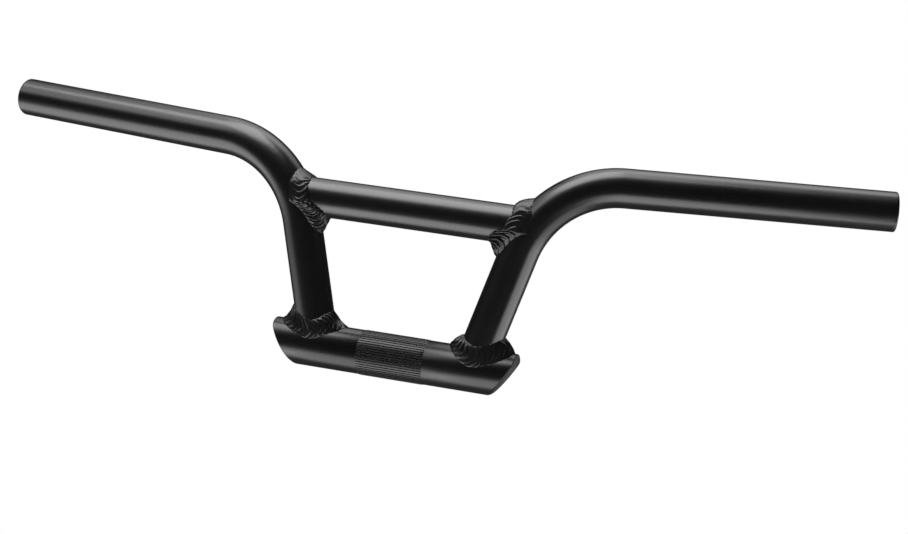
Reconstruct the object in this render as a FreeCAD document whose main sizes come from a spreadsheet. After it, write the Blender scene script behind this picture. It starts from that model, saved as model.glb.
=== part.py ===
# A small BMX handlebar, welded from aluminium tube: a short knurled clamp tube with slanted, closed ends,
# two side tubes that rise from it and bend out into the grips, and a crossbar between them.
# Millimetres and degrees, +Z up. The origin is the middle of the clamp tube, where the stem holds it.
# +X is the rider's left and +Y points back to the rider.
import FreeCAD, Part
import math
import os

import Sketcher

Vector = FreeCAD.Vector
X_AXIS = Vector(1, 0, 0)
Y_AXIS = Vector(0, 1, 0)
Z_AXIS = Vector(0, 0, 1)

# Driving sizes
SIZES = {
    # side tubes: one bent tube each, riser and grip
    "tube_diameter": 22.2,
    "tube_wall": 2.4,
    "riser_spacing": 90.6,
    "riser_lean": 15.2,
    "riser_length": 114.2,
    "bend_radius": 58,
    "upsweep": 2.2,
    "backsweep": 11.4,
    "grip_reach": 190.6,
    "grip_end_chamfer": 0.5,
    # clamp tube, measured along its longer top side; the slant starts below a short square end
    "clamp_diameter": 25.4,
    "clamp_wall": 3.2,
    "clamp_length": 144.8,
    "end_slant": 31.6,
    "square_end_height": 3.1,
    "end_plate_thickness": 2.5,
    # straight knurl under the stem
    "knurl_height": 0.3,
    "knurl_length": 39,
    "knurl_grooves": 52,
    "groove_depth": 0.22,
    "groove_width": 0.6,
    # crossbar
    "crossbar_diameter": 22,
    "crossbar_wall": 2,
    "crossbar_height": 84,
    # weld at each riser's foot: its reach over the two tubes on the riser's outer side, in front and
    # on its inner side, and how far it is hollow at the sides and crowned in front
    "foot_weld_on_clamp_outer": 8,
    "foot_weld_on_clamp_front": 3.3,
    "foot_weld_on_clamp_inner": 5.4,
    "foot_weld_on_riser_outer": 8,
    "foot_weld_on_riser_front": 8.8,
    "foot_weld_on_riser_inner": 7.8,
    "foot_weld_hollow_outer": 0.6,
    "foot_weld_crown_front": 0.5,
    "foot_weld_hollow_inner": 0.5,
    # weld at each end of the crossbar: the same on top of the crossbar, in front and below
    "bar_weld_on_riser_top": 6.8,
    "bar_weld_on_riser_front": 2.5,
    "bar_weld_on_riser_bottom": 8.6,
    "bar_weld_on_bar_top": 5.8,
    "bar_weld_on_bar_front": 10.2,
    "bar_weld_on_bar_bottom": 6.6,
    "bar_weld_crown_top": 0.5,
    "bar_weld_crown_front": 1.1,
    "bar_weld_hollow_bottom": 0.7,
    # ripples of every weld, as the torch laid them
    "weld_ripples": 20,
    "ripple_height": 0.4,
    "ripple_reach": 0.4,
}

doc = FreeCAD.newDocument("bmx_handlebar")
sheet = doc.addObject("Spreadsheet::Sheet", "sizes")
for row, (name, value) in enumerate(SIZES.items(), start=1):
    sheet.set(f"A{row}", name)
    sheet.set(f"B{row}", str(value))
    sheet.setAlias(f"B{row}", name)
doc.recompute()


def size(name):
    """A driving size, as the sheet holds it."""
    return float(sheet.get(name))


def bind(item, **expressions):
    """Ties properties of an object to expressions in the sheet's sizes."""
    for name, expression in expressions.items():
        item.setExpression(name, expression)


def sketch_on(body, name, role):
    """A sketch on one of a body's own origin planes."""
    sketch = body.newObject("Sketcher::SketchObject", name)
    plane = next(feature for feature in body.Origin.OriginFeatures if feature.Role == role)
    sketch.AttachmentSupport = [(plane, "")]
    sketch.MapMode = "FlatFace"
    return sketch


def circle_in(sketch, radius):
    """A circle about the sketch's origin whose radius follows an expression."""
    item = sketch.addGeometry(Part.Circle(Vector(0, 0, 0), Z_AXIS, 1))
    sketch.addConstraint(Sketcher.Constraint("Coincident", item, 3, -1, 1))
    index = sketch.addConstraint(Sketcher.Constraint("Radius", item, 1))
    sketch.setExpression(f"Constraints[{index}]", radius)


def pad_both_ways(body, name, sketch, length):
    """A pad with the sketch's plane at its middle."""
    pad = body.newObject("PartDesign::Pad", name)
    pad.Profile = sketch
    pad.Midplane = True
    bind(pad, Length=length)


def rod(name, radius, length):
    """A solid round bar along X, centred on the origin."""
    item = doc.addObject("Part::Cylinder", name)
    bind(item, Radius=radius, Height=length)
    item.Placement.Rotation = FreeCAD.Rotation(Y_AXIS, 90)
    item.setExpression("Placement.Base.x", f"-({length}) / 2")
    return item


def cut(name, base, *tools):
    """Cuts tools from a base, one after another. The last cut gets the name."""
    for number, tool in enumerate(tools, start=1):
        result = doc.addObject("Part::Cut", name if number == len(tools) else f"{name}_step_{number}")
        result.Base = base
        result.Tool = tool
        base = result
    return base


def mirrored(name, source):
    """The same piece on the rider's right."""
    item = doc.addObject("Part::Mirroring", name)
    item.Source = source
    item.Normal = X_AXIS
    return item


# Bend of the side tubes: its turn, and the turn of its plane about the riser towards the rider
GRIP_ALONG_RISER = (
    "(sin(sizes.riser_lean) * cos(sizes.upsweep) * cos(sizes.backsweep)"
    " + cos(sizes.riser_lean) * sin(sizes.upsweep))"
)
GRIP_ACROSS_RISER = (
    "(cos(sizes.riser_lean) * cos(sizes.upsweep) * cos(sizes.backsweep)"
    " - sin(sizes.riser_lean) * sin(sizes.upsweep))"
)
BEND_TURN = f"acos({GRIP_ALONG_RISER})"
BEND_TWIST = f"atan(cos(sizes.upsweep) * sin(sizes.backsweep) / {GRIP_ACROSS_RISER})"
BEND_TANGENT = f"sizes.bend_radius * tan({BEND_TURN} / 2)"

lean = math.radians(size("riser_lean"))
upsweep = math.radians(size("upsweep"))
backsweep = math.radians(size("backsweep"))
foot = Vector(size("riser_spacing") / 2, 0, 0)
riser_way = Vector(math.sin(lean), 0, math.cos(lean))
grip_way = Vector(
    math.cos(upsweep) * math.cos(backsweep),
    math.cos(upsweep) * math.sin(backsweep),
    math.sin(upsweep),
)
bend_turn = riser_way.getAngle(grip_way)
bend_radius = size("bend_radius")
bend_tangent = bend_radius * math.tan(bend_turn / 2)


def bent_tube(name, *radii):
    """A tube, or with one radius a rod, along the rider's left riser, bend and grip."""
    body = doc.addObject("PartDesign::Body", name)
    riser_straight = size("riser_length") - bend_tangent
    grip_straight = size("grip_reach") - bend_tangent
    bend_start = Vector(0, riser_straight, 0)
    bend_centre = bend_start + Vector(bend_radius, 0, 0)
    bend_end = bend_centre + Vector(-math.cos(bend_turn), math.sin(bend_turn), 0) * bend_radius
    grip_end = bend_end + Vector(math.sin(bend_turn), math.cos(bend_turn), 0) * grip_straight
    bend = Part.Circle(bend_centre, Z_AXIS, bend_radius)

    line = sketch_on(body, f"{name}_line", "XZ_Plane")
    bind(line, AttachmentOffset=f"placement(vector(0; 0; 0); rotation(vector(0; 1; 0); {BEND_TWIST}))")
    line.addGeometry(Part.LineSegment(Vector(0, 0, 0), bend_start))
    line.addGeometry(Part.ArcOfCircle(bend, math.pi - bend_turn, math.pi))
    line.addGeometry(Part.LineSegment(bend_end, grip_end))
    line.addConstraint(Sketcher.Constraint("Coincident", 0, 1, -1, 1))
    line.addConstraint(Sketcher.Constraint("Vertical", 0))
    line.addConstraint(Sketcher.Constraint("Tangent", 0, 2, 1, 2))
    line.addConstraint(Sketcher.Constraint("Tangent", 1, 1, 2, 1))
    driven = (
        (Sketcher.Constraint("Distance", 0, riser_straight), f"sizes.riser_length - {BEND_TANGENT}"),
        (Sketcher.Constraint("Radius", 1, bend_radius), "sizes.bend_radius"),
        (Sketcher.Constraint("Angle", 2, math.pi / 2 - bend_turn), f"90 deg - {BEND_TURN}"),
        (Sketcher.Constraint("Distance", 2, grip_straight), f"sizes.grip_reach - {BEND_TANGENT}"),
    )
    for constraint, expression in driven:
        index = line.addConstraint(constraint)
        line.setExpression(f"Constraints[{index}]", expression)

    section = sketch_on(body, f"{name}_section", "XY_Plane")
    for radius in radii:
        circle_in(section, radius)
    doc.recompute()
    pipe = body.newObject("PartDesign::AdditivePipe", f"{name}_pipe")
    pipe.Profile = section
    pipe.Spine = line
    lean_out = "rotation(vector(0; 1; 0); sizes.riser_lean)"
    bind(body, Placement=f"placement(vector(sizes.riser_spacing / 2; 0; 0); {lean_out})")
    doc.recompute()
    return body, pipe


# Outer forms of the tubes, to which the ends of others are mitred
clamp_form = rod("clamp_form", "sizes.clamp_diameter / 2", "sizes.clamp_length")
crossbar_reach = "(sizes.riser_spacing + 2 * sizes.crossbar_height * tan(sizes.riser_lean))"
crossbar_form = rod("crossbar_form", "sizes.crossbar_diameter / 2", crossbar_reach)
crossbar_form.setExpression("Placement.Base.z", "sizes.crossbar_height")
left_form, _ = bent_tube("left_form", "sizes.tube_diameter / 2")
right_form = mirrored("right_form", left_form)


# Clamp tube: a thick tube with a slightly raised band of straight knurling at its middle
clamp_stock = doc.addObject("PartDesign::Body", "clamp_stock")
CLAMP_BORE = "(sizes.clamp_diameter / 2 - sizes.clamp_wall)"
tube_section = sketch_on(clamp_stock, "clamp_section", "YZ_Plane")
circle_in(tube_section, "sizes.clamp_diameter / 2")
circle_in(tube_section, CLAMP_BORE)
pad_both_ways(clamp_stock, "clamp_pad", tube_section, "sizes.clamp_length")
CREST = "(sizes.clamp_diameter / 2 + sizes.knurl_height)"
band_section = sketch_on(clamp_stock, "knurl_section", "YZ_Plane")
circle_in(band_section, CREST)
circle_in(band_section, CLAMP_BORE)
pad_both_ways(clamp_stock, "knurl_pad", band_section, "sizes.knurl_length")

# One groove is a V along the tube, drawn as deep above the crest as it is cut below it
groove_section = sketch_on(clamp_stock, "groove_section", "YZ_Plane")
crest = size("clamp_diameter") / 2 + size("knurl_height")
groove_depth = size("groove_depth")
groove_width = size("groove_width")
groove_left = Vector(-groove_width, crest + groove_depth, 0)
groove_right = Vector(groove_width, crest + groove_depth, 0)
groove_root = Vector(0, crest - groove_depth, 0)
groove_section.addGeometry(Part.LineSegment(groove_left, groove_right))
groove_section.addGeometry(Part.LineSegment(groove_right, groove_root))
groove_section.addGeometry(Part.LineSegment(groove_root, groove_left))
groove_section.addConstraint(Sketcher.Constraint("Coincident", 0, 2, 1, 1))
groove_section.addConstraint(Sketcher.Constraint("Coincident", 1, 2, 2, 1))
groove_section.addConstraint(Sketcher.Constraint("Coincident", 2, 2, 0, 1))
groove_section.addConstraint(Sketcher.Constraint("Symmetric", 0, 1, 0, 2, -2))
groove_section.addConstraint(Sketcher.Constraint("PointOnObject", 1, 2, -2))
groove_driven = (
    (Sketcher.Constraint("Distance", 0, 2 * groove_width), "2 * sizes.groove_width"),
    (Sketcher.Constraint("DistanceY", -1, 1, 0, 1, groove_left.y), f"{CREST} + sizes.groove_depth"),
    (Sketcher.Constraint("DistanceY", -1, 1, 1, 2, groove_root.y), f"{CREST} - sizes.groove_depth"),
)
for constraint, expression in groove_driven:
    index = groove_section.addConstraint(constraint)
    groove_section.setExpression(f"Constraints[{index}]", expression)
doc.recompute()
groove = clamp_stock.newObject("PartDesign::Pocket", "groove")
groove.Profile = groove_section
groove.Midplane = True
bind(groove, Length="sizes.knurl_length")
doc.recompute()
knurl = clamp_stock.newObject("PartDesign::PolarPattern", "knurl")
knurl.Originals = [groove]
knurl.Axis = (next(axis for axis in clamp_stock.Origin.OriginFeatures if axis.Role == "X_Axis"), [""])
knurl.Angle = 360
bind(knurl, Occurrences="sizes.knurl_grooves")
clamp_stock.Tip = knurl


def end_slab(name, thickness, inset):
    """A slab along the slanted plane of the clamp tube's left end, its near side this far inside the plane.

    It is twice as wide and high as the end, and centred on it.
    """
    slab = doc.addObject("Part::Box", name)
    slant_drop = "(sizes.clamp_diameter / 2 - sizes.square_end_height)"
    end_middle = f"(sizes.clamp_length / 2 - {slant_drop} * tan(sizes.end_slant))"
    x = f"{end_middle} - sizes.clamp_diameter * tan(sizes.end_slant) - {inset} * cos(sizes.end_slant)"
    z = f"-sizes.clamp_diameter + {inset} * sin(sizes.end_slant)"
    slant = "rotation(vector(0; 1; 0); sizes.end_slant)"
    bind(
        slab,
        Length=thickness,
        Width="2 * sizes.clamp_diameter",
        Height="2 * sizes.clamp_diameter / cos(sizes.end_slant)",
        Placement=f"placement(vector({x}; -sizes.clamp_diameter; {z}); {slant})",
    )
    return slab


left_waste = end_slab("left_waste", "sizes.clamp_diameter", "0")
clamp_tube = cut("clamp_tube", clamp_stock, left_waste, mirrored("right_waste", left_waste))

# End plates: flat ovals let in flush with the slanted ends, which close the clamp tube
plate_bar = rod("plate_bar", CLAMP_BORE, "sizes.clamp_length")
left_end_plate = doc.addObject("Part::Common", "left_end_plate")
left_end_plate.Base = plate_bar
left_end_plate.Tool = end_slab("plate_slab", "sizes.end_plate_thickness", "sizes.end_plate_thickness")
right_end_plate = mirrored("right_end_plate", left_end_plate)

# Side tubes: the foot of each riser is mitred over the clamp tube, and the open grip ends are chamfered
left_stock, side_pipe = bent_tube(
    "left_stock", "sizes.tube_diameter / 2", "sizes.tube_diameter / 2 - sizes.tube_wall"
)
flat_faces = [
    (face.CenterOfMass.Length, f"Face{number}")
    for number, face in enumerate(side_pipe.Shape.Faces, start=1)
    if face.Surface.TypeId == "Part::GeomPlane"
]
grip_end = left_stock.newObject("PartDesign::Chamfer", "grip_end")
grip_end.Base = (side_pipe, [max(flat_faces)[1]])
bind(grip_end, Size="sizes.grip_end_chamfer")
doc.recompute()
left_riser_tube = cut("left_riser_tube", left_stock, clamp_form)
right_riser_tube = mirrored("right_riser_tube", left_riser_tube)

# Crossbar: a straight tube, its ends mitred to the side tubes where they start to bend
crossbar_stock = doc.addObject("PartDesign::Body", "crossbar_stock")
crossbar_section = sketch_on(crossbar_stock, "crossbar_section", "YZ_Plane")
circle_in(crossbar_section, "sizes.crossbar_diameter / 2")
circle_in(crossbar_section, "sizes.crossbar_diameter / 2 - sizes.crossbar_wall")
pad_both_ways(crossbar_stock, "crossbar_pad", crossbar_section, crossbar_reach)
crossbar_stock.setExpression("Placement.Base.z", "sizes.crossbar_height")
crossbar = cut("crossbar", crossbar_stock, left_form, right_form)
doc.recompute()


def clamp_axis_point(point):
    """The point of the clamp tube's axis nearest to a point."""
    return Vector(point.x, 0, 0)


bend_in = (grip_way - riser_way * grip_way.dot(riser_way)).normalize()
bend_start = foot + riser_way * (size("riser_length") - bend_tangent)
bend_centre = bend_start + bend_in * bend_radius


def side_axis_point(point):
    """The point of the left riser's and bend's middle line nearest to a point."""
    up_riser = (point - bend_start).dot(riser_way)
    if up_riser < 0:
        return bend_start + riser_way * up_riser
    from_centre = point - bend_centre
    turn = math.atan2(from_centre.dot(riser_way), -from_centre.dot(bend_in))
    return bend_centre + (riser_way * math.sin(turn) - bend_in * math.cos(turn)) * bend_radius


def ring_of_facets(sections):
    """A closed ring of flat triangles through like sections, each a loop of points."""
    facets = []
    for here, there in zip(sections, sections[1:] + sections[:1]):
        for a, b, c, d in zip(here, here[1:] + here[:1], there[1:] + there[:1], there):
            facets.append(Part.Face(Part.makePolygon([a, b, c, a])))
            facets.append(Part.Face(Part.makePolygon([a, c, d, a])))
    shell = Part.makeShell(facets)
    shell.sewShape()
    solid = Part.makeSolid(shell)
    if solid.Volume < 0:
        solid.reverse()
    return solid


def weld(name, axis_point, main_radius, start, branch_way, branch_radius, on_main, on_branch, crown, *forms):
    """A rippled bead round the joint of a branch tube on a main tube.

    The branch starts inside the main tube and leaves it along branch_way. on_main and on_branch hold how
    far the bead lies over each tube, and crown how far it bulges, less than nought where it is hollow:
    each on the outer or upper side of the branch, in front and behind, and on its inner or lower side.
    The tubes' outer forms are then cut from the bead, so that it seats on both.
    """
    beside_way = Y_AXIS.cross(branch_way)
    ripple_height = size("ripple_height")

    def radial(angle):
        return beside_way * math.cos(angle) + Y_AXIS * math.sin(angle)

    def eased(values, angle):
        """A value for each side of the branch, eased from one side to the next."""
        first, front, last = values
        side = math.cos(angle)
        return front + ((first if side > 0 else last) - front) * side ** 2

    def joint(angle):
        base = start + radial(angle) * branch_radius
        inside = 0.0
        outside = 4 * branch_radius
        halvings = 50
        for _ in range(halvings):
            middle = (inside + outside) / 2
            point = base + branch_way * middle
            if (point - axis_point(point)).Length > main_radius:
                outside = middle
            else:
                inside = middle
        return base + branch_way * outside

    def section(angle, crest):
        point = joint(angle)
        step = math.radians(1)
        along = (joint(angle + step) - joint(angle - step)).normalize()
        main_up = (point - axis_point(point)).normalize()
        branch_up = radial(angle)
        longer = size("ripple_reach") * crest
        main_toe = point + along.cross(main_up) * (eased(on_main, angle) + longer)
        main_up = (main_toe - axis_point(main_toe)).normalize()
        main_toe = axis_point(main_toe) + main_up * main_radius
        branch_toe = point + branch_way * (eased(on_branch, angle) + longer)
        outward = (main_up + branch_up).normalize()
        rise = outward * (eased(crown, angle) + ripple_height * crest)
        across = main_toe - branch_toe
        return [
            point - outward * (size("tube_wall") / 2),
            branch_toe - branch_up * ripple_height,
            branch_toe + across / 3 + rise,
            branch_toe + across * 2 / 3 + rise,
            main_toe - main_up * ripple_height,
        ]

    # the ripples are equally long, so their angles come from the length of the joint
    fine = 720
    angles = [2 * math.pi * i / fine for i in range(fine + 1)]
    lengths = [0.0]
    for before, after in zip(angles, angles[1:]):
        lengths.append(lengths[-1] + (joint(after) - joint(before)).Length)
    sections = []
    stations = 2 * round(size("weld_ripples"))
    for station in range(stations):
        wanted = lengths[-1] * station / stations
        i = max(k for k in range(fine) if lengths[k] <= wanted)
        share = (wanted - lengths[i]) / (lengths[i + 1] - lengths[i])
        sections.append(section(angles[i] + share * (angles[i + 1] - angles[i]), station % 2))
    bead = doc.addObject("Part::Feature", name)
    bead.Shape = ring_of_facets(sections).cut([form.Shape for form in forms]).Solids[0]
    return bead


# Welds at the risers' feet
left_clamp_weld = weld(
    "left_clamp_weld",
    clamp_axis_point,
    size("clamp_diameter") / 2,
    foot,
    riser_way,
    size("tube_diameter") / 2,
    (size("foot_weld_on_clamp_outer"), size("foot_weld_on_clamp_front"), size("foot_weld_on_clamp_inner")),
    (size("foot_weld_on_riser_outer"), size("foot_weld_on_riser_front"), size("foot_weld_on_riser_inner")),
    (-size("foot_weld_hollow_outer"), size("foot_weld_crown_front"), -size("foot_weld_hollow_inner")),
    clamp_form,
    left_form,
)
right_clamp_weld = mirrored("right_clamp_weld", left_clamp_weld)

# Welds at the crossbar's ends, which bridge the thin tips of the mitre in front and behind
left_crossbar_weld = weld(
    "left_crossbar_weld",
    side_axis_point,
    size("tube_diameter") / 2,
    Vector(crossbar_form.Shape.BoundBox.XMax, 0, size("crossbar_height")),
    -X_AXIS,
    size("crossbar_diameter") / 2,
    (size("bar_weld_on_riser_top"), size("bar_weld_on_riser_front"), size("bar_weld_on_riser_bottom")),
    (size("bar_weld_on_bar_top"), size("bar_weld_on_bar_front"), size("bar_weld_on_bar_bottom")),
    (size("bar_weld_crown_top"), size("bar_weld_crown_front"), -size("bar_weld_hollow_bottom")),
    crossbar_form,
    left_form,
)
right_crossbar_weld = mirrored("right_crossbar_weld", left_crossbar_weld)
doc.recompute()

# Checks, then one file for each piece
pieces = (
    clamp_tube,
    left_end_plate,
    right_end_plate,
    left_riser_tube,
    right_riser_tube,
    crossbar,
    left_clamp_weld,
    right_clamp_weld,
    left_crossbar_weld,
    right_crossbar_weld,
)
for item in doc.Objects:
    if "Invalid" in item.State or "Error" in item.State:
        raise RuntimeError(f"{item.Label} failed: {item.State}")
for piece in pieces:
    if piece.Shape.isNull() or not piece.Shape.isValid() or len(piece.Shape.Solids) != 1:
        raise RuntimeError(f"{piece.Label} is not one sound solid")
os.makedirs("parts", exist_ok=True)
for piece in pieces:
    piece.Shape.exportStep(f"parts/{piece.Label}.step")
    print(f"{piece.Label}: {piece.Shape.Volume / 1000:.2f} cm3, {len(piece.Shape.Faces)} faces")
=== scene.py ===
"""Looks of a small BMX handlebar: black satin tubes, rippled weld beads and a knurled clamp."""

import math

import bmesh
import bpy
import numpy as np
from mathutils import Matrix, Vector


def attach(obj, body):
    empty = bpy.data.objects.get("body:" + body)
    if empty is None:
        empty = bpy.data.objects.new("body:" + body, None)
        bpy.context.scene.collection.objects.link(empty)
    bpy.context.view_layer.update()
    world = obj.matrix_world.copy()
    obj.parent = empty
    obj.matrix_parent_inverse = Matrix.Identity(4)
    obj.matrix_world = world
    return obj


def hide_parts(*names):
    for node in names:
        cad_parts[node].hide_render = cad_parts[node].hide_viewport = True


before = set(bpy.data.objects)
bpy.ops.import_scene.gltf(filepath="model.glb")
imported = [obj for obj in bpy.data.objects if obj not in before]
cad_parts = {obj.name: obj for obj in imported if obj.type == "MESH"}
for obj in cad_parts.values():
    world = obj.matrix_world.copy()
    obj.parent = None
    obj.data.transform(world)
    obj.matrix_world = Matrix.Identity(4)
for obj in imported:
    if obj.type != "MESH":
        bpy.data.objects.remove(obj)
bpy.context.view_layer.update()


# Side tubes: one aluminium tube on each side, bent cold into riser, bend and grip. The foot of the
# riser is mitred over the clamp tube, and the open grip end has its edges broken.
# Lengths of the object are in millimetres, and become metres when a mesh is made.
MM = 0.001
SIDE_RADIUS = 11.1
SIDE_WALL = 2.4
RISER_SPACING = 90.6
RISER_LEAN = math.radians(15.2)
RISER_LENGTH = 114.2
BEND_RADIUS = 58.0
UPSWEEP = math.radians(2.2)
BACKSWEEP = math.radians(11.4)
GRIP_REACH = 190.6
GRIP_EDGE = 1.0
BORE_EDGE = 0.5
CLAMP_RADIUS = 12.7
MIRROR = np.array([-1, 1, 1])
ROUND_SEGMENTS = 96
FIRST_STATION = 30.0
RISER_STATIONS = 4
BEND_STATIONS = 48
GRIP_STATIONS = 6
EDGE_STEPS = 5
SHARP_ANGLE = math.radians(50)

foot = np.array([RISER_SPACING / 2, 0, 0])
riser_way = np.array([math.sin(RISER_LEAN), 0, math.cos(RISER_LEAN)])
grip_way = np.array([
    math.cos(UPSWEEP) * math.cos(BACKSWEEP),
    math.cos(UPSWEEP) * math.sin(BACKSWEEP),
    math.sin(UPSWEEP),
])
bend_turn = math.acos(riser_way @ grip_way)
bend_length = BEND_RADIUS * bend_turn
bend_tangent = BEND_RADIUS * math.tan(bend_turn / 2)
riser_straight = RISER_LENGTH - bend_tangent
bend_in = grip_way - riser_way * (riser_way @ grip_way)
bend_in = bend_in / np.linalg.norm(bend_in)
bend_across = np.cross(riser_way, bend_in)
bend_centre = foot + riser_way * riser_straight + bend_in * BEND_RADIUS
turns = np.linspace(0, 2 * math.pi, ROUND_SEGMENTS, endpoint=False)[:, None]


def linear(hex_colour):
    """A colour written as sRGB hex, in the linear values that shaders take."""
    parts = [int(hex_colour[i:i + 2], 16) / 255 for i in (1, 3, 5)]
    return [c / 12.92 if c <= 0.04045 else ((c + 0.055) / 1.055) ** 2.4 for c in parts] + [1]


def add_node(tree, kind, inputs=None, **settings):
    """Adds a node with its settings. An input is given a value, or the socket that feeds it."""
    node = tree.nodes.new(kind)
    for name, value in settings.items():
        setattr(node, name, value)
    for socket, value in (inputs or {}).items():
        if isinstance(value, bpy.types.NodeSocket):
            tree.links.new(value, node.inputs[socket])
        else:
            node.inputs[socket].default_value = value
    return node


def empty_tree(owner):
    """The node tree of a new material or world, cleared of its first nodes."""
    owner.use_nodes = True
    owner.node_tree.nodes.clear()
    return owner.node_tree


# the grain of fine blasting is about 0.1 mm; it is drawn at 0.35 mm so that it shows at all
BLAST_GRIT = 0.35
BLAST_DEPTH = 0.02
PATCH_SIZE = 25
GLOSS_SPREAD = 0.03
TUBE_DYES = ("#060607", "#0c0c0d")


def anodised_black(name, dyes, roughness, ior, grit, grit_depth):
    """Black anodised aluminium: a dyed oxide skin on blasted metal, so the gloss is soft and grainy.

    The skin is near black, and the light that it throws back is nearly all gloss. dyes are the colours
    that its patches vary between, grit is the size of the blasted grain, and grit_depth how deep it is.
    """
    material = bpy.data.materials.new(name)
    tree = empty_tree(material)
    place = add_node(tree, "ShaderNodeTexCoord").outputs["Object"]
    grain = add_node(
        tree,
        "ShaderNodeTexNoise",
        {"Vector": place, "Scale": 1 / (grit * MM), "Detail": 2.0, "Roughness": 0.6},
    )
    patches = add_node(
        tree,
        "ShaderNodeTexNoise",
        {"Vector": place, "Scale": 1 / (PATCH_SIZE * MM), "Detail": 3.0, "Roughness": 0.5},
    )
    colour = add_node(tree, "ShaderNodeMix", {0: patches.outputs["Fac"]}, data_type="RGBA")
    colour.inputs["A"].default_value = linear(dyes[0])
    colour.inputs["B"].default_value = linear(dyes[1])
    gloss = add_node(
        tree,
        "ShaderNodeMapRange",
        {
            "Value": patches.outputs["Fac"],
            "To Min": roughness - GLOSS_SPREAD,
            "To Max": roughness + GLOSS_SPREAD,
        },
    )
    bump = add_node(
        tree,
        "ShaderNodeBump",
        {"Height": grain.outputs["Fac"], "Strength": 0.35, "Distance": grit_depth * MM},
    )
    skin = add_node(
        tree,
        "ShaderNodeBsdfPrincipled",
        {
            "Base Color": colour.outputs["Result"],
            "Roughness": gloss.outputs["Result"],
            "Metallic": 0.0,
            "IOR": ior,
            "Normal": bump.outputs["Normal"],
        },
    )
    add_node(tree, "ShaderNodeOutputMaterial", {"Surface": skin.outputs["BSDF"]})
    return material


tube_black = anodised_black(
    "anodised_black_tube",
    TUBE_DYES,
    roughness=0.285,
    ior=1.77,
    grit=BLAST_GRIT,
    grit_depth=BLAST_DEPTH,
)


def piece(name, points, faces, material, slot, nodes):
    """A closed piece from points in millimetres, its faces turned outwards, riding on the bar."""
    mesh = bpy.data.meshes.new(name)
    mesh.from_pydata((np.asarray(points) * MM).tolist(), [], faces)
    work = bmesh.new()
    work.from_mesh(mesh)
    bmesh.ops.recalc_face_normals(work, faces=work.faces)
    work.to_mesh(mesh)
    work.free()
    mesh.shade_smooth()
    mesh.set_sharp_from_angle(angle=SHARP_ANGLE)
    mesh.materials.append(material)
    item = bpy.data.objects.new(name, mesh)
    bpy.context.collection.objects.link(item)
    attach(item, "root")
    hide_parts(*nodes)


def loop_of_rings(rings):
    """Points and faces of a skin through rings of points, from the last ring back to the first."""
    count = len(rings[0])
    faces = []
    for i in range(len(rings)):
        here = i * count
        there = (i + 1) % len(rings) * count
        for j in range(count):
            k = (j + 1) % count
            faces.append((here + j, here + k, there + k, there + j))
    return np.concatenate(rings), faces


def side_ring(along, radius):
    """A ring round the rider's left side tube, at a length along its middle line."""
    turn = min(max((along - riser_straight) / BEND_RADIUS, 0), bend_turn)
    inward = bend_in * math.cos(turn) - riser_way * math.sin(turn)
    middle = bend_centre - inward * BEND_RADIUS
    middle = middle + riser_way * min(along - riser_straight, 0)
    middle = middle + grip_way * max(along - riser_straight - bend_length, 0)
    return middle + radius * (np.cos(turns) * inward + np.sin(turns) * bend_across)


def foot_ring(radius):
    """The mitred foot of the left riser: where lines along it meet the clamp tube."""
    start = side_ring(0, radius)
    height = np.sqrt(CLAMP_RADIUS ** 2 - start[:, 1] ** 2)
    return start + np.outer((height - start[:, 2]) / riser_way[2], riser_way)


side_bore = SIDE_RADIUS - SIDE_WALL
side_length = riser_straight + bend_length + GRIP_REACH - bend_tangent
bend_stations = riser_straight + bend_length * np.linspace(0, 1, BEND_STATIONS)
riser_stations = np.linspace(FIRST_STATION, riser_straight, RISER_STATIONS)[:-1]
grip_stations = np.linspace(bend_stations[-1], side_length - 2 * GRIP_EDGE, GRIP_STATIONS)[1:]
stations = [*riser_stations, *bend_stations, *grip_stations]
edge_angles = np.linspace(0, math.pi / 2, EDGE_STEPS)
side_rings = [foot_ring(SIDE_RADIUS)]
side_rings += [side_ring(along, SIDE_RADIUS) for along in stations]
for angle in edge_angles:
    drop = GRIP_EDGE * (1 - math.cos(angle))
    side_rings.append(side_ring(side_length - GRIP_EDGE * (1 - math.sin(angle)), SIDE_RADIUS - drop))
for angle in edge_angles[::-1]:
    drop = BORE_EDGE * (1 - math.cos(angle))
    side_rings.append(side_ring(side_length - BORE_EDGE * (1 - math.sin(angle)), side_bore + drop))
side_rings += [side_ring(along, side_bore) for along in stations[::-1]]
side_rings.append(foot_ring(side_bore))
side_points, side_faces = loop_of_rings(side_rings)
piece("left_side_tube", side_points, side_faces, tube_black, "tube", ["left_riser_tube"])
piece("right_side_tube", side_points * MIRROR, side_faces, tube_black, "tube", ["right_riser_tube"])


# Crossbar: a straight aluminium tube between the risers, its ends cut to saddles that fit the
# side tubes just where they begin to bend, and welded all round.
CROSSBAR_RADIUS = 11.0
CROSSBAR_WALL = 2.0
CROSSBAR_HEIGHT = 84.0
CROSSBAR_SHARES = (1, 0.5, 0, -0.5, -1)
HALVINGS = 40
crossbar_reach = RISER_SPACING / 2 + CROSSBAR_HEIGHT * math.tan(RISER_LEAN)


def side_axis(points):
    """The points of the left side tube's middle line that are nearest to some points."""
    up_riser = (points - foot) @ riser_way
    on_riser = foot + np.outer(up_riser, riser_way)
    from_centre = points - bend_centre
    turn = np.arctan2(from_centre @ riser_way, -(from_centre @ bend_in))[:, None]
    on_bend = bend_centre + (riser_way * np.sin(turn) - bend_in * np.cos(turn)) * BEND_RADIUS
    return np.where((up_riser < riser_straight)[:, None], on_riser, on_bend)


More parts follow.
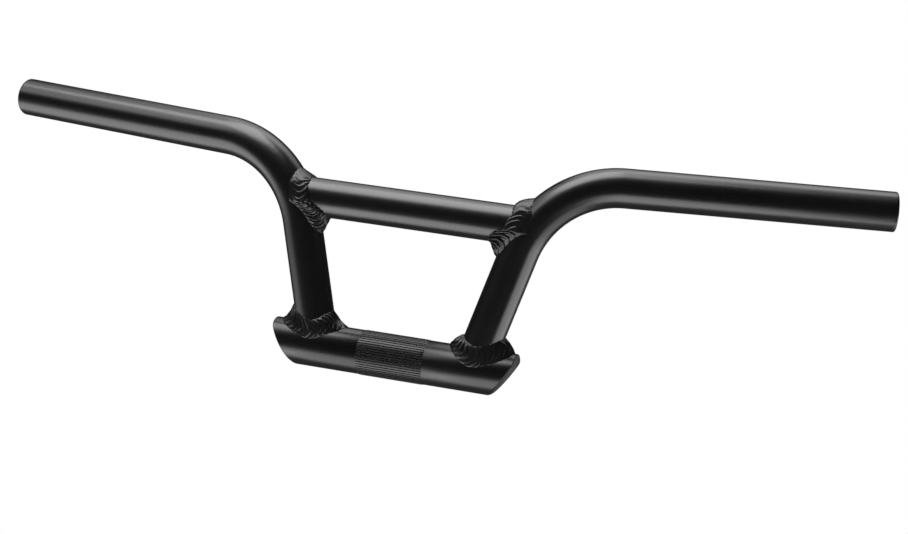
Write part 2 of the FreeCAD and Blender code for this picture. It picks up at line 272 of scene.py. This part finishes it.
def seat_on(axis_of, radius, starts, way):
    """Where lines that start inside a tube and run one way come out of that tube's surface."""
    inside = np.zeros(len(starts))
    # four radii along, a line is out of the tube for certain
    outside = np.full(len(starts), 4 * radius)
    for _ in range(HALVINGS):
        middle = (inside + outside) / 2
        points = starts + np.outer(middle, way)
        within = np.linalg.norm(points - axis_of(points), axis=1) < radius
        inside = np.where(within, middle, inside)
        outside = np.where(within, outside, middle)
    return starts + np.outer(outside, way)


def crossbar_ring(radius):
    """The saddle at the crossbar's left end, at one radius of its tube."""
    circle = np.hstack([0 * turns, radius * np.cos(turns), radius * np.sin(turns)])
    starts = circle + [crossbar_reach, 0, CROSSBAR_HEIGHT]
    return seat_on(side_axis, SIDE_RADIUS, starts, np.array([-1, 0, 0]))


saddle = crossbar_ring(CROSSBAR_RADIUS)
bore_saddle = crossbar_ring(CROSSBAR_RADIUS - CROSSBAR_WALL)
crossbar_rings = [saddle * [share, 1, 1] for share in CROSSBAR_SHARES]
crossbar_rings += [bore_saddle * [share, 1, 1] for share in reversed(CROSSBAR_SHARES)]
piece("crossbar_tube", *loop_of_rings(crossbar_rings), tube_black, "tube", ["crossbar"])


# Clamp tube: a short, thicker aluminium tube that the stem holds. Its ends are sawn off at a slant
# that stops short of the top. The edge of each cut is filed round, most of all below, and the tube's
# finish is duller.
CLAMP_WALL = 3.2
CLAMP_LENGTH = 144.8
SQUARE_END = 3.1
# 1 is the end at the rider's left, and -1 the one at the right
TIP_FILED = {1: 1.8, -1: 0.0}
TIP_SOFTNESS = 0.8
END_SLANT = math.tan(math.radians(31.6))
END_EDGE = 0.4
END_WORN = 1.9
FACE_START = 1.05
SEAM_EDGE = 0.1
KNURL_LENGTH = 39.0
KNURL_BED = 0.35
BED_RAMP = 0.6
clamp_black = anodised_black(
    "anodised_black_clamp",
    TUBE_DYES,
    roughness=0.3,
    ior=1.6,
    grit=BLAST_GRIT,
    grit_depth=BLAST_DEPTH,
)


def clamp_ring(radius, inset, side):
    """A ring round the clamp tube along one of its slanted ends, this far inside the cut."""
    y = radius * np.cos(turns)
    z = radius * np.sin(turns)
    slanted = (CLAMP_RADIUS - SQUARE_END - z) * END_SLANT
    filed = TIP_FILED[side]
    cut = (slanted + filed + np.sqrt((slanted - filed) ** 2 + TIP_SOFTNESS ** 2)) / 2
    x = CLAMP_LENGTH / 2 - cut - inset
    return np.hstack([side * x, y, z])


def square_ring(x, radius):
    """A ring square across the clamp tube."""
    return np.hstack([0 * turns + x, radius * np.cos(turns), radius * np.sin(turns)])


clamp_bore = CLAMP_RADIUS - CLAMP_WALL
end_edge = END_EDGE + END_WORN * np.maximum(-np.sin(turns), 0) ** 2
outer_edge = [
    (CLAMP_RADIUS - end_edge * (1 - math.cos(angle)), end_edge * (1 - math.sin(angle)))
    for angle in edge_angles
]
face_edge = CLAMP_RADIUS - FACE_START * end_edge
inner_edge = [
    (face_edge, 0),
    ((face_edge + clamp_bore + SEAM_EDGE) / 2, 0),
    (clamp_bore + SEAM_EDGE, 0),
    (clamp_bore, SEAM_EDGE),
]
bed_corners = [(KNURL_LENGTH / 2, CLAMP_RADIUS), (KNURL_LENGTH / 2 - BED_RAMP, CLAMP_RADIUS - KNURL_BED)]
clamp_rings = [clamp_ring(*corner, 1) for corner in reversed(outer_edge)]
clamp_rings += [square_ring(x, radius) for x, radius in bed_corners]
clamp_rings += [square_ring(-x, radius) for x, radius in reversed(bed_corners)]
clamp_rings += [clamp_ring(*corner, -1) for corner in outer_edge]
clamp_rings += [clamp_ring(*corner, -1) for corner in inner_edge]
clamp_rings += [clamp_ring(*corner, 1) for corner in reversed(inner_edge)]
piece("clamp_tube_skin", *loop_of_rings(clamp_rings), clamp_black, "tube", ["clamp_tube"])


# Knurl: straight ridges rolled into the middle of the clamp tube, so that the stem grips it.
# They are the tube's own metal, pushed up between the teeth of the rolling wheel.
KNURL_RIDGES = 52
KNURL_HEIGHT = 0.22
RIDGE_FOOT = 1.2
RIDGE_TOP = 1.0
RIDGE_ROUND = 0.15
RIDGE_ROUND_STEPS = 6
RIDGE_ROOT = 0.12
RIDGE_RUN_OUT = 1.5
RIDGE_STEP = 1.5


def knurl_tree(material):
    """A tree that sets ridges with rounded tops round the X axis, each run out at its ends."""
    tree = bpy.data.node_groups.new("knurl_ridges", "GeometryNodeTree")
    sockets = {}
    for label, kind in (
        ("Ridges", "NodeSocketInt"),
        ("Root radius", "NodeSocketFloat"),
        ("Length", "NodeSocketFloat"),
        ("Run out", "NodeSocketFloat"),
        ("Foot width", "NodeSocketFloat"),
        ("Top width", "NodeSocketFloat"),
        ("Rounding", "NodeSocketFloat"),
        ("Height", "NodeSocketFloat"),
        ("Sink", "NodeSocketFloat"),
    ):
        sockets[label] = tree.interface.new_socket(label, in_out="INPUT", socket_type=kind).identifier
    tree.interface.new_socket("Geometry", in_out="OUTPUT", socket_type="NodeSocketGeometry")
    given = add_node(tree, "NodeGroupInput").outputs

    half = add_node(tree, "ShaderNodeMath", {0: given["Length"], 1: 0.5}, operation="MULTIPLY")
    start = add_node(tree, "ShaderNodeMath", {0: half.outputs[0], 1: -1.0}, operation="MULTIPLY")
    from_end = add_node(tree, "ShaderNodeCombineXYZ", {"X": start.outputs[0]})
    to_end = add_node(tree, "ShaderNodeCombineXYZ", {"X": half.outputs[0]})
    line = add_node(
        tree, "GeometryNodeCurvePrimitiveLine", {"Start": from_end.outputs[0], "End": to_end.outputs[0]}
    )
    points = add_node(
        tree,
        "GeometryNodeResampleCurve",
        {"Curve": line.outputs[0], "Length": RIDGE_STEP * MM},
        mode="LENGTH",
    )
    section = add_node(
        tree,
        "GeometryNodeCurvePrimitiveQuadrilateral",
        {
            "Height": given["Height"],
            "Bottom Width": given["Foot width"],
            "Top Width": given["Top width"],
            "Offset": 0.0,
        },
        mode="TRAPEZOID",
    )
    rounded = add_node(
        tree,
        "GeometryNodeFilletCurve",
        {"Curve": section.outputs[0], "Radius": given["Rounding"], "Count": RIDGE_ROUND_STEPS},
        mode="POLY",
    )
    ridge = add_node(
        tree,
        "GeometryNodeCurveToMesh",
        {"Curve": points.outputs[0], "Profile Curve": rounded.outputs[0], "Fill Caps": True},
    )

    # the ridge sinks to the tube's own surface over its last stretch at each end
    place = add_node(tree, "GeometryNodeInputPosition")
    along = add_node(tree, "ShaderNodeSeparateXYZ", {0: place.outputs[0]})
    from_middle = add_node(tree, "ShaderNodeMath", {0: along.outputs["X"]}, operation="ABSOLUTE")
    plain_end = add_node(
        tree, "ShaderNodeMath", {0: half.outputs[0], 1: given["Run out"]}, operation="SUBTRACT"
    )
    sunk = add_node(
        tree,
        "ShaderNodeMapRange",
        {"Value": from_middle.outputs[0], "From Min": plain_end.outputs[0], "From Max": half.outputs[0]},
    )
    sink = add_node(
        tree, "ShaderNodeMath", {0: sunk.outputs[0], 1: given["Sink"]}, operation="MULTIPLY"
    )
    down = add_node(tree, "ShaderNodeMath", {0: sink.outputs[0], 1: -1.0}, operation="MULTIPLY")
    move = add_node(tree, "ShaderNodeCombineXYZ", {"Z": down.outputs[0]})
    run_out = add_node(
        tree, "GeometryNodeSetPosition", {"Geometry": ridge.outputs[0], "Offset": move.outputs[0]}
    )

    seats = add_node(tree, "GeometryNodePoints", {"Count": given["Ridges"]})
    number = add_node(tree, "GeometryNodeInputIndex")
    share = add_node(
        tree, "ShaderNodeMath", {0: number.outputs[0], 1: given["Ridges"]}, operation="DIVIDE"
    )
    turn = add_node(tree, "ShaderNodeMath", {0: share.outputs[0], 1: 2 * math.pi}, operation="MULTIPLY")
    rotation = add_node(tree, "ShaderNodeCombineXYZ", {"X": turn.outputs[0]})
    up = add_node(tree, "ShaderNodeCombineXYZ", {"Z": given["Root radius"]})
    seat = add_node(
        tree,
        "ShaderNodeVectorRotate",
        {"Vector": up.outputs[0], "Angle": turn.outputs[0]},
        rotation_type="X_AXIS",
    )
    seated = add_node(
        tree, "GeometryNodeSetPosition", {"Geometry": seats.outputs[0], "Position": seat.outputs[0]}
    )
    ridges = add_node(
        tree,
        "GeometryNodeInstanceOnPoints",
        {"Points": seated.outputs[0], "Instance": run_out.outputs[0], "Rotation": rotation.outputs[0]},
    )
    real = add_node(tree, "GeometryNodeRealizeInstances", {"Geometry": ridges.outputs[0]})
    painted = add_node(
        tree, "GeometryNodeSetMaterial", {"Geometry": real.outputs[0], "Material": material}
    )
    add_node(tree, "NodeGroupOutput", {"Geometry": painted.outputs[0]})
    return tree, sockets


def grown(name, tree, values):
    """A plain mesh piece from a tree's result, with the tree's inputs set by their identifiers."""
    seed_mesh = bpy.data.meshes.new(name)
    item = bpy.data.objects.new(name, seed_mesh)
    bpy.context.collection.objects.link(item)
    modifier = item.modifiers.new("grow", "NODES")
    modifier.node_group = tree
    for identifier, value in values.items():
        modifier[identifier] = value
    shape = item.evaluated_get(bpy.context.evaluated_depsgraph_get())
    mesh = bpy.data.meshes.new_from_object(shape)
    item.modifiers.remove(modifier)
    item.data = mesh
    bpy.data.meshes.remove(seed_mesh)
    mesh.name = name
    return item


ridge_height = KNURL_HEIGHT + KNURL_BED + RIDGE_ROOT
knurl_nodes, knurl_sockets = knurl_tree(clamp_black)
knurl = grown("knurl_ridges", knurl_nodes, {
    knurl_sockets["Ridges"]: KNURL_RIDGES,
    knurl_sockets["Root radius"]: (CLAMP_RADIUS + KNURL_HEIGHT - ridge_height / 2) * MM,
    knurl_sockets["Length"]: KNURL_LENGTH * MM,
    knurl_sockets["Run out"]: RIDGE_RUN_OUT * MM,
    knurl_sockets["Foot width"]: RIDGE_FOOT * MM,
    knurl_sockets["Top width"]: RIDGE_TOP * MM,
    knurl_sockets["Rounding"]: RIDGE_ROUND * MM,
    knurl_sockets["Height"]: ridge_height * MM,
    knurl_sockets["Sink"]: KNURL_HEIGHT * MM,
})
knurl.data.shade_smooth()
knurl.data.set_sharp_from_angle(angle=SHARP_ANGLE)
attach(knurl, "root")


# End plates: flat oval discs that close the clamp tube's slanted ends, set in flush with the cut
# and finished with the rest.
PLATE_THICKNESS = 2.5


def end_plate(name, side, node):
    """A disc in one slanted end, built from rings and closed by a fan at each face's middle."""
    corners = [
        (clamp_bore / 2, 0),
        (clamp_bore - SEAM_EDGE, 0),
        (clamp_bore, SEAM_EDGE),
        (clamp_bore, PLATE_THICKNESS),
        (clamp_bore / 2, PLATE_THICKNESS),
    ]
    points, faces = loop_of_rings([clamp_ring(*corner, side) for corner in corners])
    # the skin from the last ring back to the first is left out
    faces = faces[:-ROUND_SEGMENTS]
    for ring in (0, len(corners) - 1):
        middle = len(points)
        points = np.vstack([points, clamp_ring(0, corners[ring][1], side)[:1]])
        for j in range(ROUND_SEGMENTS):
            k = (j + 1) % ROUND_SEGMENTS
            faces.append((ring * ROUND_SEGMENTS + j, ring * ROUND_SEGMENTS + k, middle))
    piece(name, points, faces, clamp_black, "tube", [node])


end_plate("left_end_disc", 1, "left_end_plate")
end_plate("right_end_disc", -1, "right_end_plate")


# Welds: beads of filler metal laid by hand round every joint, one small pool after another, so each
# is a row of overlapping crescents. They are anodised with the tubes, but their alloy takes less of the
# dye, so they come out a little greyer and duller.
JOINT_SAMPLES = 1441
WELD_STATIONS = 640
WELD_STRIPS = 30
POOL_LENGTHS = (0.7, 1.3)
POOL_HEIGHTS = (0.6, 1.25)
POOL_FULLNESS = 2.2
CRESCENT_FULLNESS = 1.7
RIPPLE_SCALLOP = 0.25
SIDE_SHORTER = 0.15
WELD_SINK = 0.4
WELD_DYES = ("#121213", "#1a1a1b")
weld_black = anodised_black(
    "anodised_black_weld",
    WELD_DYES,
    roughness=0.26,
    ior=1.56,
    grit=0.5,
    grit_depth=0.03,
)


def clamp_axis(points):
    """The points of the clamp tube's middle line that are nearest to some points."""
    return points * [1, 0, 0]


def unit(vectors):
    """Vectors at length one."""
    return vectors / np.linalg.norm(vectors, axis=1, keepdims=True)


def bead(main, branch, lean, crest, on_main, on_branch, crown, swell, ripples, bow, seed):
    """Points and faces of a rippled bead round a branch tube on a main tube.

    main is the main tube's axis function and radius, and branch the branch tube's start, way and radius.
    A lean under one moves the bead's highest line towards the branch. crest is how far along each pool,
    as a share of its length, its highest place lies.
    on_main and on_branch are how far the bead reaches along each tube, crown is its height, and swell
    that of its ripples. Each holds five values, evenly spaced from the branch's far side past its front
    to its near side, and the back is laid like the front. bow is how many pools the crescents bulge
    along the bead.
    """
    axis_of, main_radius = main
    start, branch_way, branch_radius = branch
    beside = np.cross([0, 1, 0], branch_way)

    def joint(angles):
        """Where the two tubes meet at angles round the branch, and the way out of the branch there."""
        radial = np.outer(np.cos(angles), beside) + np.outer(np.sin(angles), [0, 1, 0])
        return seat_on(axis_of, main_radius, start + radial * branch_radius, branch_way), radial

    def around(values, angles):
        """Values from far to near, joined by one smooth wave."""
        orders = np.arange(len(values))
        table = np.cos(np.outer(orders, orders) * math.pi / (len(values) - 1))
        waves = np.linalg.solve(table, values)
        return np.cos(np.outer(angles, orders)) @ waves

    # stations are equally spaced along the joint
    fine = np.linspace(0, 2 * math.pi, JOINT_SAMPLES)
    line, _ = joint(fine)
    lengths = np.concatenate([[0], np.cumsum(np.linalg.norm(np.diff(line, axis=0), axis=1))])
    places = np.linspace(0, lengths[-1], WELD_STATIONS, endpoint=False)
    angles = np.interp(places, lengths, fine)
    root, branch_up = joint(angles)
    along = unit(np.roll(root, -1, axis=0) - np.roll(root, 1, axis=0))
    main_up = unit(root - axis_of(root))
    main_way = unit(np.cross(along, main_up))

    # each pool has its own length and height, and those in front and behind are longer
    draw = np.random.default_rng(seed)
    pool_side = np.cos(2 * math.pi * (np.arange(ripples) + 0.5) / ripples)
    pool_lengths = draw.uniform(*POOL_LENGTHS, ripples) * (1 - SIDE_SHORTER * pool_side ** 2)
    edges = np.concatenate([[0], np.cumsum(pool_lengths)])
    pool_at = np.interp(places / lengths[-1], edges / edges[-1], np.arange(ripples + 1))
    heights = draw.uniform(*POOL_HEIGHTS, ripples)
    across = np.linspace(0, 1, WELD_STRIPS)
    hump = 4 * across ** lean * (1 - across ** lean)
    arc = 1 - np.abs(2 * across - 1) ** CRESCENT_FULLNESS
    phase = (pool_at[:, None] + bow * (arc - 0.5)) % ripples
    pool = np.floor(phase).astype(int) % ripples
    within = phase - np.floor(phase)
    skewed = within ** (math.log(0.5) / math.log(crest))
    ripple = heights[pool] * (1 - np.abs(2 * skewed - 1) ** POOL_FULLNESS)

    main_reach = around(on_main, angles) + RIPPLE_SCALLOP * (ripple[:, -1] - 0.5)
    branch_reach = around(on_branch, angles) + RIPPLE_SCALLOP * (ripple[:, 0] - 0.5)
    main_toe = root + main_way * main_reach[:, None]
    main_toe_up = unit(main_toe - axis_of(main_toe))
    main_toe = axis_of(main_toe) + main_toe_up * main_radius
    branch_toe = root + np.outer(branch_reach, branch_way)
    outward = unit(main_toe_up + branch_up)
    rise = around(crown, angles)[:, None] * hump
    rise = rise + around(swell, angles)[:, None] * ripple * hump ** 0.5
    rings = []
    for strip, share in enumerate(across):
        rings.append(branch_toe + (main_toe - branch_toe) * share + outward * rise[:, strip:strip + 1])
    rings.append(main_toe - main_toe_up * WELD_SINK)
    rings.append(root - outward * 2 * WELD_SINK)
    rings.append(branch_toe - branch_up * WELD_SINK)
    return loop_of_rings(rings)


def foot_bead(**laid):
    """The bead round the rider's left riser, on the clamp tube."""
    branch = (foot, riser_way, SIDE_RADIUS)
    return bead((clamp_axis, CLAMP_RADIUS), branch, lean=1.0, crest=0.42, **laid)


def crossbar_bead(**laid):
    """The bead round the crossbar's end, on the rider's left side tube."""
    end = np.array([crossbar_reach, 0, CROSSBAR_HEIGHT])
    branch = (end, np.array([-1.0, 0, 0]), CROSSBAR_RADIUS)
    return bead((side_axis, SIDE_RADIUS), branch, lean=0.6, crest=0.78, **laid)


# laid by hand, so no two beads have the same size
points, faces = foot_bead(
    on_main=(8.6, 5.8, 3.2, 4.2, 5.4),
    on_branch=(8.0, 8.4, 8.8, 7.7, 6.6),
    crown=(0.2, 0.35, 0.5, 0.5, 0.4),
    swell=(0.55, 0.5, 0.42, 0.95, 1.1),
    ripples=26,
    bow=-1.0,
    seed=3,
)
piece("left_foot_bead", points, faces, weld_black, "weld", ["left_clamp_weld"])
points, faces = foot_bead(
    on_main=(8.0, 5.0, 1.7, 3.2, 7.4),
    on_branch=(10.0, 9.6, 9.2, 9.0, 8.4),
    crown=(-1.4, -0.45, 0.5, 0.7, -1.5),
    swell=(0.6, 0.65, 0.45, 0.6, 0.7),
    ripples=28,
    bow=1.3,
    seed=5,
)
piece("right_foot_bead", points * MIRROR, faces, weld_black, "weld", ["right_clamp_weld"])
points, faces = crossbar_bead(
    on_main=(6.8, 3.6, 1.4, 3.4, 8.4),
    on_branch=(5.8, 8.2, 12.0, 10.6, 6.2),
    crown=(1.4, 1.1, 1.0, 1.0, -1.0),
    swell=(0.1, 0.35, 0.35, 1.35, 1.2),
    ripples=26,
    bow=-1.2,
    seed=7,
)
piece("left_crossbar_bead", points, faces, weld_black, "weld", ["left_crossbar_weld"])
points, faces = crossbar_bead(
    on_main=(6.0, 4.0, 2.0, 4.6, 9.2),
    on_branch=(4.6, 7.2, 9.8, 8.4, 6.6),
    crown=(0.0, 0.7, 1.2, 1.0, -1.6),
    swell=(0.1, 0.3, 0.3, 1.2, 0.9),
    ripples=30,
    bow=1.4,
    seed=9,
)
piece("right_crossbar_bead", points * MIRROR, faces, weld_black, "weld", ["right_crossbar_weld"])


# Studio: the bar hangs over a wide white floor, in front of white. Softboxes stand to its right, above
# and behind, bright cards lie low all round it, and a tent of grey felt dims what else the gloss would
# mirror. The camera sees neither felt, lights nor cards.
FLOOR_DROP = 1.4
FLOOR_HALF = 8.0
SHADOW_CORE = 0.3
SHADOW_RADIUS = 1.4
SHADOW_GLOW = 0.5
ROOM_LIGHT = 0.15
TENT_RADIUS = 6.0
TENT_TOP = 6.0
TENT_SEGMENTS = 48
TENT_GAP = 0.02
BAR_MIDDLE = Vector((0.0, 0.0, 0.06))


def background_rays(tree):
    """One where a ray comes from the camera, a gloss or a clear material, and nought elsewhere."""
    light_path = add_node(tree, "ShaderNodeLightPath").outputs
    seen = add_node(
        tree,
        "ShaderNodeMath",
        {0: light_path["Is Camera Ray"], 1: light_path["Is Glossy Ray"]},
        operation="MAXIMUM",
    )
    background = add_node(
        tree,
        "ShaderNodeMath",
        {0: seen.outputs[0], 1: light_path["Is Transmission Ray"]},
        operation="MAXIMUM",
    )
    return background.outputs[0]


def sheet(name, points, faces, material):
    """A surface of the studio, which is no part of the bar."""
    mesh = bpy.data.meshes.new(name)
    mesh.from_pydata(points, [], faces)
    mesh.materials.append(material)
    item = bpy.data.objects.new(name, mesh)
    bpy.context.collection.objects.link(item)
    return item


# matt white board: it has a soft shadow under the bar, and is plain white further out
floor_white = bpy.data.materials.new("matt_white_floor")
tree = empty_tree(floor_white)
place = add_node(tree, "ShaderNodeTexCoord").outputs["Object"]
far_off = add_node(tree, "ShaderNodeVectorMath", {0: place}, operation="LENGTH")
fade = add_node(
    tree,
    "ShaderNodeMapRange",
    {
        "Value": far_off.outputs["Value"],
        "From Min": SHADOW_CORE,
        "From Max": SHADOW_RADIUS,
        "To Min": SHADOW_GLOW,
    },
)
glow_share = add_node(
    tree, "ShaderNodeMath", {0: fade.outputs[0], 1: background_rays(tree)}, operation="MULTIPLY"
)
matt = add_node(tree, "ShaderNodeBsdfDiffuse", {"Color": linear("#f4f4f4")})
glow = add_node(tree, "ShaderNodeEmission", {"Color": linear("#ffffff"), "Strength": 1.0})
mixed = add_node(
    tree, "ShaderNodeMixShader", {0: glow_share.outputs[0], 1: matt.outputs[0], 2: glow.outputs[0]}
)
add_node(tree, "ShaderNodeOutputMaterial", {"Surface": mixed.outputs[0]})
corners = [(x * FLOOR_HALF, y * FLOOR_HALF, 0) for x, y in ((-1, -1), (1, -1), (1, 1), (-1, 1))]
floor = sheet("floor", corners, [(0, 1, 2, 3)], floor_white)
floor.location.z = -FLOOR_DROP

# wool felt: flat and dull, so the gloss mirrors an even dark grey between the lights
cloth_grey = bpy.data.materials.new("grey_felt")
tree = empty_tree(cloth_grey)
felt = add_node(tree, "ShaderNodeBsdfDiffuse", {"Color": linear("#5c5c5c")})
add_node(tree, "ShaderNodeOutputMaterial", {"Surface": felt.outputs[0]})
tent_points = []
for height in (TENT_GAP - FLOOR_DROP, TENT_TOP):
    for i in range(TENT_SEGMENTS):
        angle = 2 * math.pi * i / TENT_SEGMENTS
        tent_points.append((TENT_RADIUS * math.cos(angle), TENT_RADIUS * math.sin(angle), height))
tent_faces = [tuple(range(TENT_SEGMENTS)), tuple(range(TENT_SEGMENTS, 2 * TENT_SEGMENTS))]
for i in range(TENT_SEGMENTS):
    j = (i + 1) % TENT_SEGMENTS
    tent_faces.append((i, j, TENT_SEGMENTS + j, TENT_SEGMENTS + i))
tent = sheet("grey_tent", tent_points, tent_faces, cloth_grey)
tent.visible_camera = False
tent.visible_diffuse = False
tent.visible_shadow = False

world = bpy.data.worlds.new("white_studio")
bpy.context.scene.world = world
tree = empty_tree(world)
white = add_node(tree, "ShaderNodeBackground", {"Color": linear("#ffffff"), "Strength": 1.0})
room = add_node(tree, "ShaderNodeBackground", {"Color": linear("#ffffff"), "Strength": ROOM_LIGHT})
mixed = add_node(
    tree, "ShaderNodeMixShader", {0: background_rays(tree), 1: room.outputs[0], 2: white.outputs[0]}
)
add_node(tree, "ShaderNodeOutputWorld", {"Surface": mixed.outputs[0]})


def softbox(name, azimuth, height, distance, size, radiance):
    """A flat soft light that faces the bar, as bright as radiance, where one is white.

    azimuth is in degrees from straight in front towards the rider's left, and height in degrees over
    the horizon. distance is from the bar's middle and size across and upwards, in metres.
    """
    lamp = bpy.data.lights.new(name, "AREA")
    lamp.shape = "RECTANGLE"
    lamp.size, lamp.size_y = size
    lamp.energy = radiance * math.pi * size[0] * size[1]
    item = bpy.data.objects.new(name, lamp)
    bpy.context.collection.objects.link(item)
    turn = math.radians(azimuth)
    rise = math.radians(height)
    way = Vector((math.sin(turn) * math.cos(rise), -math.cos(turn) * math.cos(rise), math.sin(rise)))
    item.location = BAR_MIDDLE + way * distance
    item.rotation_euler = (-way).to_track_quat("-Z", "Y").to_euler()
    item.visible_camera = False


# each with its azimuth, height, distance, size and radiance
softbox("ceiling_softbox", -61, 70, 2.5, (1.75, 1.9), 3.6)
softbox("low_softbox", -57, 38, 2.0, (0.7, 0.9), 1.0)
softbox("ceiling_halo", -82, 57, 2.9, (3.8, 4.0), 0.75)
softbox("top_softbox", 169, 73, 2.4, (0.9, 1.4), 1.3)
softbox("back_softbox", 178, 59, 2.5, (2.8, 1.65), 1.15)
softbox("front_card", -8, -60.5, 1.3, (1.45, 1.1), 2.35)
softbox("right_card", -72, -41, 1.3, (1.05, 0.85), 2.15)
softbox("right_side_card", -86, -17, 1.8, (1.6, 0.5), 0.6)
softbox("left_side_card", 99, -23, 1.8, (2.2, 0.64), 2.2)
softbox("left_low_card", 97, -48, 1.4, (1.3, 0.75), 1.0)
softbox("back_low_card", 178, -15, 2.2, (1.8, 0.7), 0.2)


# Camera: where the photograph was taken from, turned a little about its own axis. The bar's lean in
# the picture is that turn.
CAMERA_TARGET = Vector((28.0, 0.0, 55.8)) * MM
CAMERA_DISTANCE = 1.0756
CAMERA_AZIMUTH = math.radians(14.36)
CAMERA_ELEVATION = math.radians(5.445)
CAMERA_ROLL = math.radians(7.057)
CAMERA_LENS = 76.09
SENSOR_WIDTH = 36.0
camera_data = bpy.data.cameras.new("camera")
camera_data.lens = CAMERA_LENS
camera_data.sensor_width = SENSOR_WIDTH
camera_data.sensor_fit = "HORIZONTAL"
camera = bpy.data.objects.new("camera", camera_data)
bpy.context.collection.objects.link(camera)
backwards = Vector((
    math.sin(CAMERA_AZIMUTH) * math.cos(CAMERA_ELEVATION),
    -math.cos(CAMERA_AZIMUTH) * math.cos(CAMERA_ELEVATION),
    math.sin(CAMERA_ELEVATION),
))
camera.location = CAMERA_TARGET + backwards * CAMERA_DISTANCE
level_right = Vector((math.cos(CAMERA_AZIMUTH), math.sin(CAMERA_AZIMUTH), 0))
level_up = backwards.cross(level_right)
right = level_right * math.cos(CAMERA_ROLL) + level_up * math.sin(CAMERA_ROLL)
axes = Matrix((right, backwards.cross(right), backwards)).transposed()
camera.rotation_euler = axes.to_euler()
bpy.context.scene.camera = camera
bpy.context.scene.view_settings.view_transform = "Standard"
